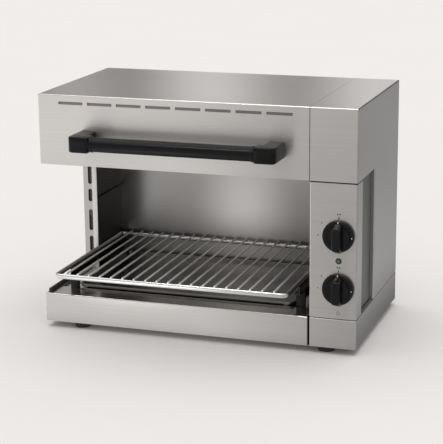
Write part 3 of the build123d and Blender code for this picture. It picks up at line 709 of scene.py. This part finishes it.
def round_edges(piece, test, width, segments=3):
    """Round the edges that pass the test."""
    edit(piece, "EDGE", test)
    bpy.ops.mesh.bevel(offset=width, segments=segments, affect="EDGES", clamp_overlap=True)
    leave()


def sharp(edge):
    """Whether the faces beside an edge meet at a sharp angle."""
    return edge.calc_face_angle(0) > 1


def rise_of(edge, axis):
    """How far an edge runs along an axis."""
    first, second = (getattr(vert.co, axis) for vert in edge.verts)
    return abs(first - second)


def in_front(limit):
    """A test for edges that lie wholly in front of a y."""
    return lambda edge: all(vert.co.y < limit + TINY for vert in edge.verts)


def merge(pieces):
    """Join several pieces into the first."""
    rest_tools()
    for piece in pieces:
        piece.select_set(True)
    bpy.context.view_layer.objects.active = pieces[0]
    bpy.ops.object.join()
    return bpy.context.object


def copy_of(piece, step):
    """A copy with its own mesh, moved by a step."""
    twin = piece.copy()
    twin.data = piece.data.copy()
    twin.data.transform(Matrix.Translation(step))
    bpy.context.collection.objects.link(twin)
    return twin


def present(piece, name, body, finish, smooth=35):
    """Name a finished piece, smooth it, dress it, and let it ride on its body."""
    take(piece)
    piece.name = piece.data.name = name
    bpy.ops.object.shade_smooth_by_angle(angle=math.radians(smooth))
    piece.data.materials.clear()
    piece.data.materials.append(finish_of(finish))
    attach(piece, body)
    return piece


def dress_nodes():
    """Give every CAD node the finish of its slot."""
    for part in frame["record"]["subparts"]:
        node = frame["nodes"][part["node"]]
        node.data.materials.clear()
        node.data.materials.append(
            finish_of(OWN_FINISHES.get(part["node"], part["material_slot"])))


# ---------------------------------------------------------------- operators


class MixFinishes(bpy.types.Operator):
    """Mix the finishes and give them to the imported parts"""

    bl_idname = "grill.mix_finishes"
    bl_label = "Mix finishes"

    def execute(self, context):
        metal = context.scene.grill_metal
        black = context.scene.grill_black
        middle = centre_of("lamp_lens")
        middle.y = LENS_LOW[1]
        for name, setting, *surface in SHEETS:
            # The back panel's colour carries a painted reflection.
            painted_reflection = PAINTED_REFLECTION_PATCH if name == "inner_stainless" else None
            FINISHES[name] = brushed_metal(
                name, getattr(metal, setting), metal.grain_pitch, *surface, painted_reflection)
        for name, *surface in METALS:
            FINISHES[name] = plain_metal(name, *surface)
        for name, colour in INKS:
            FINISHES[name] = printed(name, colour)
        FINISHES.update({
            "wire_chrome": plain_metal("wire_chrome", metal.wire_colour, 0.18, 500.0),
            # The cross wires' paler, half-diffuse chrome paints their highlights.
            "wire_painted_highlight": plain_metal("wire_painted_highlight", metal.wire_highlight_colour, 0.25, 500.0, 0.5),
            "black_grip": moulded("black_grip", black.handle_colour, 0.20, gloss=0.14),
            "black_knob": moulded("black_knob", black.knob_colour, 0.15, 1200.0, 0.05, 0.28),
            "black_rubber": moulded("black_rubber", black.rubber_colour, 0.75, 600.0, 0.3),
            "nylon": moulded("nylon", NYLON_COLOUR, 0.5),
            "spring_enamel": moulded("spring_enamel", ENAMEL_COLOUR, 0.3, 300.0, 0.03),
            "lamp_green": green_lens("lamp_green", middle, LENS_RADIUS),
            "mineral_wool": wool("mineral_wool", WOOL_COLOUR),
        })
        dress_nodes()
        return {"FINISHED"}


class BuildStudio(bpy.types.Operator):
    """Set up the camera, the floor, the room light and the lamps"""

    bl_idname = "grill.build_studio"
    bl_label = "Build studio"

    def execute(self, context):
        studio = context.scene.grill_studio
        self.place_camera(context.scene, studio)
        self.lay_floor(studio)
        self.light_room(context.scene, studio)
        self.lay_card(studio)
        self.raise_screen(studio)
        self.hang_softbox(studio)
        context.scene.view_settings.view_transform = "Standard"
        return {"FINISHED"}

    def place_camera(self, scene, studio):
        """The camera, aimed by its turn, tilt and roll."""
        rest_tools()
        bpy.ops.object.camera_add(location=studio.camera_place)
        camera = bpy.context.object
        camera.name = "Camera"
        turn, tilt, roll = studio.camera_turn, studio.camera_tilt, studio.camera_roll
        ahead = Vector((
            -math.sin(turn) * math.cos(tilt), math.cos(turn) * math.cos(tilt), -math.sin(tilt)))
        level = Vector((math.cos(turn), math.sin(turn), 0))
        above = level.cross(ahead)
        across = level * math.cos(roll) + above * math.sin(roll)
        up = above * math.cos(roll) - level * math.sin(roll)
        camera.matrix_world = Matrix.Translation(studio.camera_place) @ Matrix(
            (across, up, -ahead)).transposed().to_4x4()
        camera.data.lens = studio.camera_lens
        camera.data.sensor_width = 36
        camera.data.clip_end = 100
        scene.camera = camera

    def lay_floor(self, studio):
        """The paper floor."""
        floor = square(FLOOR_SIZE, (0, 0, 0))
        floor.name = "studio_floor"
        paper, tree, shader = new_material("studio_paper")
        shade = stretched_noise(tree, (3.0, 3.0, 3.0), 1.0)
        paint(tree, shader, studio.floor_colour, shade, 0.995, 1.005)
        shader.inputs["Roughness"].default_value = 0.9
        shader.inputs["Specular IOR Level"].default_value = 0.0
        floor.data.materials.append(paper)

    def light_room(self, scene, studio):
        """Light from the room, brighter overhead, and the key light."""
        world = bpy.data.worlds.new("room")
        scene.world = world
        world.use_nodes = True
        tree = world.node_tree
        sky = tree.nodes["Background"]
        height = add_node(
            tree, "ShaderNodeMapRange", interpolation_type="SMOOTHSTEP", from_min=0.0,
            from_max=SKY_TOP, to_min=studio.sky_low, to_max=studio.sky_high)
        tree.links.new(
            along_axes(tree, place_on(tree, "Generated"))["Z"], height.inputs["Value"])
        sight = add_node(tree, "ShaderNodeLightPath")
        change = calculate(tree, "SUBTRACT", studio.backdrop_level, height.outputs["Result"])
        tree.links.new(scaled(tree, sight.outputs["Is Camera Ray"], change,
                              height.outputs["Result"]), sky.inputs["Strength"])
        sky.inputs["Color"].default_value = (*LAMP_COLOUR, 1)

        rest_tools()
        bpy.ops.object.light_add(type="SUN", location=(0, 0, 3))
        key = bpy.context.object
        key.name = "key_light"
        key.data.energy = studio.key_strength
        key.data.angle = studio.key_spread
        key.data.color = LAMP_COLOUR
        key.rotation_euler = (-Vector(studio.key_aim)).to_track_quat("-Z", "Y").to_euler()

    def lay_card(self, studio):
        """A card on the floor that only mirrors show, paler at the left than at the right."""
        card, tree = mirror_card("studio_card", CARD_SIZE, (0, 0, CARD_LIFT))
        place = place_on(tree)
        size = add_node(tree, "ShaderNodeVectorMath", operation="ABSOLUTE")
        tree.links.new(place, size.inputs[0])
        spot, reach = along_axes(tree, place), along_axes(tree, size.outputs["Vector"])
        run = scaled(tree, reach["Y"], CARD_SKEW, spot["X"])
        far_gain = scaled(
            tree, fade(tree, spot["Y"], *FAR_FRONT), graded(tree, run, FAR_GAINS), 1.0)
        beside = fade(tree, reach["X"], GRILL_HALF_WIDTH + SHADE_WIDTH, GRILL_HALF_WIDTH)
        level_with = fade(tree, spot["Y"], *SHADE_FRONT)
        shade = times(tree, times(tree, beside, level_with), -studio.contact_shade)
        distant = scaled(tree, fade(tree, reach["Y"], *DISTANT_REACH), DISTANT_GAIN, shade)
        gain = times(tree, calculate(tree, "ADD", distant, 1.0), far_gain)
        lit = times(tree, gain, graded(tree, run, CARD_LEVELS))
        near = fade(tree, distance_from(tree, GLOW_SPOT), GLOW_REACH, 0.0)
        glow = times(tree, near, studio.glow_level)
        mirrored_light(tree, scaled(tree, lit, studio.card_level, glow))

    def raise_screen(self, studio):
        """A screen behind the grill that only mirrors show, with two paler windows."""
        screen, tree = mirror_card(
            "studio_screen", SCREEN_SIZE, (0, SCREEN_BACK, SCREEN_SIZE / 2), TURNS["Y"])
        settle(screen)
        along = along_axes(tree, place_on(tree))["X"]
        pitch = studio.window_pitch
        off = calculate(tree, "SUBTRACT", along, studio.window_place)
        wave = calculate(tree, "COSINE", times(tree, off, 2 * math.pi / pitch))
        span = calculate(tree, "ABSOLUTE", calculate(tree, "SUBTRACT", off, pitch / 2))
        panes = times(tree, scaled(tree, wave, 0.5, 0.5),
                      fade(tree, span, *(pitch * count for count in WINDOW_FADE)))
        mirrored_light(tree, scaled(
            tree, panes, studio.screen_level * studio.window_gain, studio.screen_level))

    def hang_softbox(self, studio):
        """A long lamp box in front that only mirrors show, for lines of light on black parts."""
        softbox, tree = mirror_card("studio_softbox", 1, SOFTBOX_PLACE, SOFTBOX_TILT)
        softbox.scale = SOFTBOX_SIZE
        settle(softbox)
        mirrored_light(tree, studio.softbox_level)


class BuildRack(bpy.types.Operator):
    """Build the rack: a rounded outer bar and the wires on it"""

    bl_idname = "grill.build_rack"
    bl_label = "Build rack"

    def execute(self, context):
        rack = context.scene.grill_rack
        radius, half = rack.wire_radius, rack.bar_width / 2
        back = RACK_HIGH[1] - RACK_TAIL
        low = Vector((RACK_LOW[0] + half, RACK_LOW[1] + half, 0))
        high = Vector((RACK_HIGH[0] - half, back - half, 0))
        middle = (low + high) / 2
        middle.z = RACK_LOW[2] + rack.bar_height / 2
        loop = square(1, middle)
        loop.scale = (high.x - low.x, high.y - low.y, 1)
        settle(loop)
        edit(loop, "EDGE", lambda edge: True)
        bpy.ops.mesh.bevel(offset=rack.corner - half, segments=8, affect="VERTICES")
        bpy.ops.mesh.select_all(action="SELECT")
        bpy.ops.mesh.delete(type="ONLY_FACE")
        leave()
        take(loop)
        bpy.ops.object.convert(target="CURVE")
        loop = bpy.context.object
        loop.data.dimensions = "3D"
        loop.data.twist_mode = "Z_UP"
        loop.data.fill_mode = "FULL"
        loop.data.bevel_depth = half
        loop.data.bevel_resolution = 4
        loop.data.extrude = rack.bar_height / 2 - half
        bpy.ops.object.convert(target="MESH")
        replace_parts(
            present(bpy.context.object, "rack_frame", "rack", "wire_chrome", 50), "rack")

        start = RACK_LOW[1] + half * rack.wire_start
        length = RACK_HIGH[1] - start
        pitch = (high.x - low.x) / (rack.wire_count + 1)
        spot = (low.x + pitch, start + length / 2, RACK_HIGH[2] - radius)
        wire = bar(spot, radius, length, "Y", 12)
        round_edges(wire, lambda edge: rise_of(edge, "y") < TINY, radius * 0.45, 2)
        wires = [wire] + [
            copy_of(wire, (pitch * number, 0, 0)) for number in range(1, rack.wire_count)]
        # The wires wear the finish with painted highlights.
        present(merge(wires), "rack_wires", "rack", "wire_painted_highlight", 60)
        return {"FINISHED"}


class FitTrim(bpy.types.Operator):
    """Fit the post's folded edge, the seals of the control column, and the hood's trim"""

    bl_idname = "grill.fit_trim"
    bl_label = "Fit trim"

    def execute(self, context):
        trim = context.scene.grill_trim
        self.fold_post_edge(trim)
        self.seal_column(trim)
        self.trim_hood(trim)
        return {"FINISHED"}

    def fold_post_edge(self, trim):
        """The liner's edge, folded over the face of the left post."""
        low, high = box_of("left_post")
        face = low.y - trim.fold_depth
        fold = block(
            (high.x - trim.fold_width, face, low.z + trim.clearance),
            (high.x + trim.fold_reach, low.y - trim.fold_gap, high.z - trim.clearance))
        round_edges(fold, in_front(face), trim.fold_depth * 0.45)
        present(fold, "left_fold", "stand", "fold_steel")

    def seal_column(self, trim):
        """The black ring that the hood rests on, and the black gasket between column and base;
        both also paint the shade in the gaps there.
        """
        low, high = box_of("control_housing")
        # A real seal whose black also paints the shade under the cheek's edge.
        seal = block((low.x, low.y, high.z), (high.x, high.y, high.z + trim.seal_height))
        edit(seal, "FACE", lambda face: abs(face.normal.z) > 0.9)
        bpy.ops.mesh.inset(thickness=trim.seal_width)
        bpy.ops.mesh.bridge_edge_loops()
        leave()
        present(seal, "hood_seal_and_shade", "stand", "black_rubber")

        # The gasket's black also paints the shade in the seams under the panel and along the
        # recess.
        top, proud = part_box("control_base")[1][2], trim.gasket_proud
        column = block((PANEL_LOW[0], PANEL_LOW[1] - proud, top),
                       (PANEL_HIGH[0] + proud, PANEL_HIGH[1] - proud, top + trim.gasket_height))
        foot = block((low.x, PANEL_HIGH[1], top),
                     (high.x + trim.gasket_lip, RECESS_BACK, top + 2 * trim.gasket_height))
        for part in (column, foot):
            round_edges(part, lambda edge: sharp(edge) and all(
                vert.co.z > top + TINY for vert in edge.verts), proud * 0.8, 2)
        present(merge([column, foot]), "column_gasket_and_shade", "stand", "black_rubber")

    def trim_hood(self, trim):
        """The dark joint between shell and cheek, and the plate close behind the vents."""
        shell_low, shell_high = box_of("hood_shell")
        joint = (shell_high.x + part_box("hood_cheek")[0][0]) / 2
        half = trim.joint_width / 2
        strip = block((joint - half, shell_low.y - trim.joint_rise, shell_low.z),
                      (joint + half, shell_low.y + trim.joint_width,
                       shell_high.z - trim.joint_width))
        round_edges(strip, in_front(shell_low.y), trim.joint_rise * 0.8, 2)
        present(strip, "hood_joint", "hood", "black_rubber")

        (near, far), (upper, lower) = VENT_ROW
        face, margin = shell_low.y + trim.vent_plate_set, trim.vent_plate_margin
        plate = block(
            (shell_low.x + near - margin, face, shell_high.z - lower - margin),
            (shell_low.x + far + margin, face + trim.fold_depth, shell_high.z - upper + margin))
        round_edges(plate, in_front(face), trim.fold_depth * 0.4, 2)
        present(plate, "vent_plate", "hood", "vent_steel")


class BuildHandle(bpy.types.Operator):
    """Build the handle: two elbows with collars and the round bar between them"""

    bl_idname = "grill.build_handle"
    bl_label = "Build handle"

    def execute(self, context):
        handle = context.scene.grill_handle
        grip_low, grip_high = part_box("handle_grip")
        grip_middle = centre_of("handle_grip")
        radius = (grip_high[2] - grip_low[2]) / 2
        for side, inward in (("left", 1), ("right", -1)):
            node = "handle_bracket_" + side
            low, high = box_of(node)
            outer = low.x if inward == 1 else high.x
            ends = sorted((outer, outer + inward * handle.leg_width))
            elbow = block((ends[0], low.y, low.z), (ends[1], low.y + handle.leg_depth, high.z))
            edit(elbow, "FACE", looks((0, 1, 0)))
            push((0, high.y - low.y - handle.leg_depth, 0))
            leave()
            edit(elbow, "FACE", lambda face: face.normal.x * inward > 0.9
                 and face.calc_center_median().y < low.y + handle.leg_depth)
            push((inward * (high.x - low.x - handle.leg_width), 0, 0))
            leave()
            round_edges(elbow, lambda edge: all(
                abs(vert.co.x - outer) < TINY and abs(vert.co.y - low.y) < TINY
                for vert in edge.verts), handle.elbow_round, 6)
            round_edges(elbow, lambda edge: edge.calc_face_angle(0) > 0.5 and not all(
                abs(vert.co.y - high.y) < TINY for vert in edge.verts), handle.edge, 3)
            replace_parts(present(elbow, "handle_elbow_" + side, "hood", "black_grip"), node)
            collar_end = (high.x if inward == 1 else low.x) + inward * handle.collar_gap
            spot = (collar_end + inward * handle.collar_width / 2, grip_middle.y, grip_middle.z)
            collar = bar(spot, radius + handle.collar_rise, handle.collar_width, "X", 48)
            round_edges(collar, sharp, handle.collar_rise * 0.7)
            present(collar, "handle_collar_" + side, "hood", "black_grip")
        grip = bar(grip_middle, radius, grip_high[0] - grip_low[0], "X", 48)
        for aim in (-1, 1):
            edit(grip, "FACE", looks((aim, 0, 0)))
            bpy.ops.mesh.inset(thickness=handle.edge)
            push((-aim * handle.edge, 0, 0))
            leave()
        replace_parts(present(grip, "handle_bar", "hood", "black_grip"), "handle_grip")
        return {"FINISHED"}


class BuildKnobs(bpy.types.Operator):
    """Build both knobs: a skirt, a raised hub, a tapered grip and its white marks"""

    bl_idname = "grill.build_knobs"
    bl_label = "Build knobs"

    def execute(self, context):
        knobs = context.scene.grill_knobs
        low, high = box_of("upper_knob")
        x, z = (low.x + high.x) / 2, high.z - knobs.skirt_radius
        back, face = high.y, high.y - knobs.skirt_height
        skirt = bar((x, (back + face) / 2, z), knobs.skirt_radius, knobs.skirt_height, "Y", 72)
        round_edges(skirt, in_front(face), knobs.edge, 4)
        edit(skirt, "FACE", lambda part: part.normal.y < -0.99 and len(part.verts) > 4)
        bpy.ops.mesh.inset(thickness=knobs.skirt_radius - knobs.edge - knobs.hub_radius)
        push((0, -knobs.hub_height, 0))
        bpy.ops.transform.resize(value=(knobs.hub_taper, 1, knobs.hub_taper))
        bpy.ops.mesh.inset(thickness=knobs.edge)
        push((0, knobs.hub_dish, 0))
        leave()
        half = knobs.grip_width / 2
        bottom, top = low.z, low.z + knobs.grip_length
        grip = block((x - half, low.y, bottom), (x + half, face + knobs.grip_root, top))
        edit(grip, "EDGE", lambda edge: rise_of(edge, "y") > knobs.grip_root)
        bpy.ops.mesh.bevel(offset=half * knobs.end_share, segments=8, affect="EDGES")
        leave()
        edit(grip, "FACE", looks((0, -1, 0), 0.99))
        bpy.ops.transform.resize(value=(knobs.front_width, 1, knobs.front_share))
        leave()
        round_edges(grip, in_front(low.y), knobs.edge, 4)
        mark = block((x - POINTER_HALF, face - POINTER_PROUD, z + POINTER_FROM),
                     (x + POINTER_HALF, face + POINTER_SINK, z + POINTER_TO))
        bead = bar((x + BEAD_ASIDE, face, z + BEAD_ABOVE), BEAD_RADIUS, BEAD_LENGTH, "Y", 16)
        for piece in (mark, bead):
            round_edges(piece, sharp, MARK_ROUND, 2)
        knob, marks = merge([skirt, grip]), merge([mark, bead])
        drop = centre_of("lower_knob") - centre_of("upper_knob")
        for place, step in (("upper", (0, 0, 0)), ("lower", drop)):
            body = place + "_knob"
            turned = knob if place == "upper" else copy_of(knob, step)
            inked = marks if place == "upper" else copy_of(marks, step)
            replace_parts(present(turned, place + "_dial", body, "black_knob"), body)
            present(inked, place + "_pointer", body, "white_print")
        return {"FINISHED"}


class PrintMarks(bpy.types.Operator):
    """Print the ticks and dots round the knobs, and fit the ring of the pilot lamp"""

    bl_idname = "grill.print_marks"
    bl_label = "Print marks"

    def execute(self, context):
        marks = {"black_print": [], "grey_print": []}
        for node in ("upper_knob", "lower_knob"):
            middle = centre_of(node)
            for ink, across, rise, width, height in KNOB_MARKS:
                marks[ink].append(self.dab(
                    middle.x + across, middle.z + rise, width, height))
        middle = centre_of("lower_knob")
        for across, rise, width, height in SYMBOL_BARS:
            marks["grey_print"].append(self.dab(
                middle.x + across, middle.z + rise, width, height))
        for ink, dabs in marks.items():
            present(merge(dabs), "dial_" + ink, "stand", ink)
        lens = centre_of("lamp_lens")
        rest_tools()
        bpy.ops.mesh.primitive_torus_add(
            location=(lens.x, PANEL_LOW[1] - RING_PROUD, lens.z), rotation=TURNS["Y"],
            major_radius=(LENS_HIGH[0] - LENS_LOW[0]) / 2 + RING_GAP, minor_radius=RING_BEAD,
            major_segments=40, minor_segments=10)
        ring = bpy.context.object
        settle(ring)
        edit(ring, "FACE", lambda face: face.calc_center_median().y > PANEL_LOW[1])
        bpy.ops.mesh.delete(type="FACE")
        leave()
        present(ring, "lamp_ring", "stand", "black_grip", 80)
        return {"FINISHED"}

    def dab(self, x, z, width, height):
        """One flat mark on the control panel."""
        piece = block((x - width / 2, PANEL_LOW[1] - INK_PROUD, z - height / 2),
                      (x + width / 2, PANEL_LOW[1] + INK_SINK, z + height / 2))
        round_edges(piece, lambda edge: rise_of(edge, "y") > TINY, min(width, height) * 0.3, 2)
        return piece


class GrillPanel(bpy.types.Panel):
    """Lists the steps that build the grill's visible pieces"""

    bl_idname = "VIEW3D_PT_grill"
    bl_label = "Salamander grill"
    bl_space_type = "VIEW_3D"
    bl_region_type = "UI"
    bl_category = "Grill"

    def draw(self, context):
        for step in STEPS:
            self.layout.operator(step.bl_idname)


SETTINGS = {
    "grill_studio": StudioSettings,
    "grill_metal": MetalSettings,
    "grill_black": BlackSettings,
    "grill_knobs": KnobSettings,
    "grill_handle": HandleSettings,
    "grill_rack": RackSettings,
    "grill_trim": TrimSettings,
}
STEPS = (MixFinishes, BuildHandle, BuildKnobs, PrintMarks, BuildRack, FitTrim, BuildStudio)


def register():
    """Register the settings, the steps and the panel."""
    for group in SETTINGS.values():
        bpy.utils.register_class(group)
    for key, group in SETTINGS.items():
        setattr(bpy.types.Scene, key, bpy.props.PointerProperty(type=group))
    for kind in (*STEPS, GrillPanel):
        bpy.utils.register_class(kind)


def unregister():
    """Undo what register did."""
    for kind in reversed((*STEPS, GrillPanel)):
        bpy.utils.unregister_class(kind)
    for key in SETTINGS:
        delattr(bpy.types.Scene, key)
    for group in reversed(tuple(SETTINGS.values())):
        bpy.utils.unregister_class(group)


def main():
    """Run every step in order."""
    register()
    for step in STEPS:
        family, name = step.bl_idname.split(".")
        getattr(getattr(bpy.ops, family), name)()


if __name__ == "__main__":
    main()
